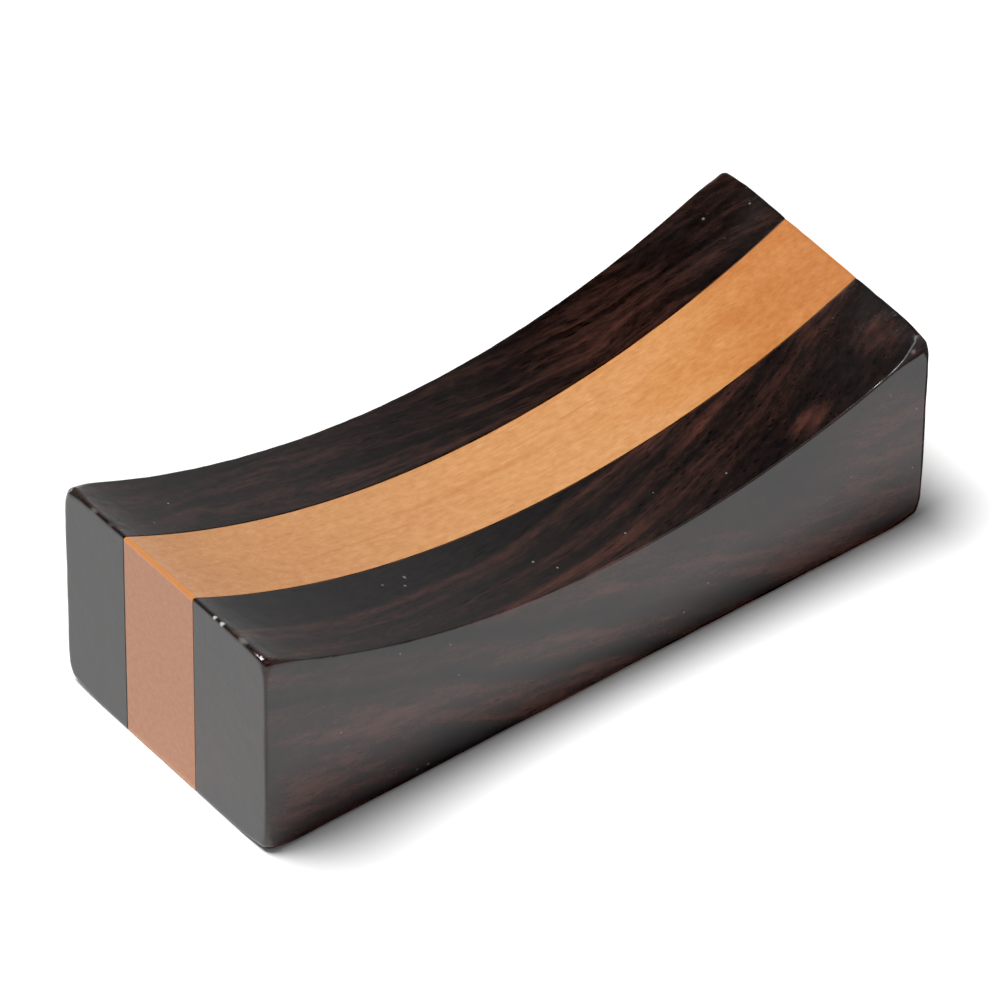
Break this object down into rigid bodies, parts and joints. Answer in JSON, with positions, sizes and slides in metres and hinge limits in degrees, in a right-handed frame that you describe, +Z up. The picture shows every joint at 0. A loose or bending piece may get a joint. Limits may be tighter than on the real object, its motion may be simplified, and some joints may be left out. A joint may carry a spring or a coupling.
{
  "type": "chopstick rest",
  "caption": "Small laminated hardwood rest for chopsticks or cutlery: a block with a hollowed top, dark strips on both sides of a pale core.",
  "frame": {"origin": "the middle of the flat underside, on the surface that the rest stands on", "axes": "+X along the grain and the hollow, +Y across the strips from the front strip to the back strip, +Z up"},
  "size_m": [0.05, 0.0198, 0.0152],
  "materials": {
    "rosewood": "near-black rosewood with red-brown streaks, clear satin lacquer",
    "maple": "honey-coloured maple, clear satin lacquer",
    "glue": "cured wood glue, dark amber"
  },
  "bodies": {
    "root": {"front_rosewood_strip": "rosewood", "back_rosewood_strip": "rosewood", "maple_core": "maple", "front_glue_line": "glue", "back_glue_line": "glue"}
  },
  "joints": []
}
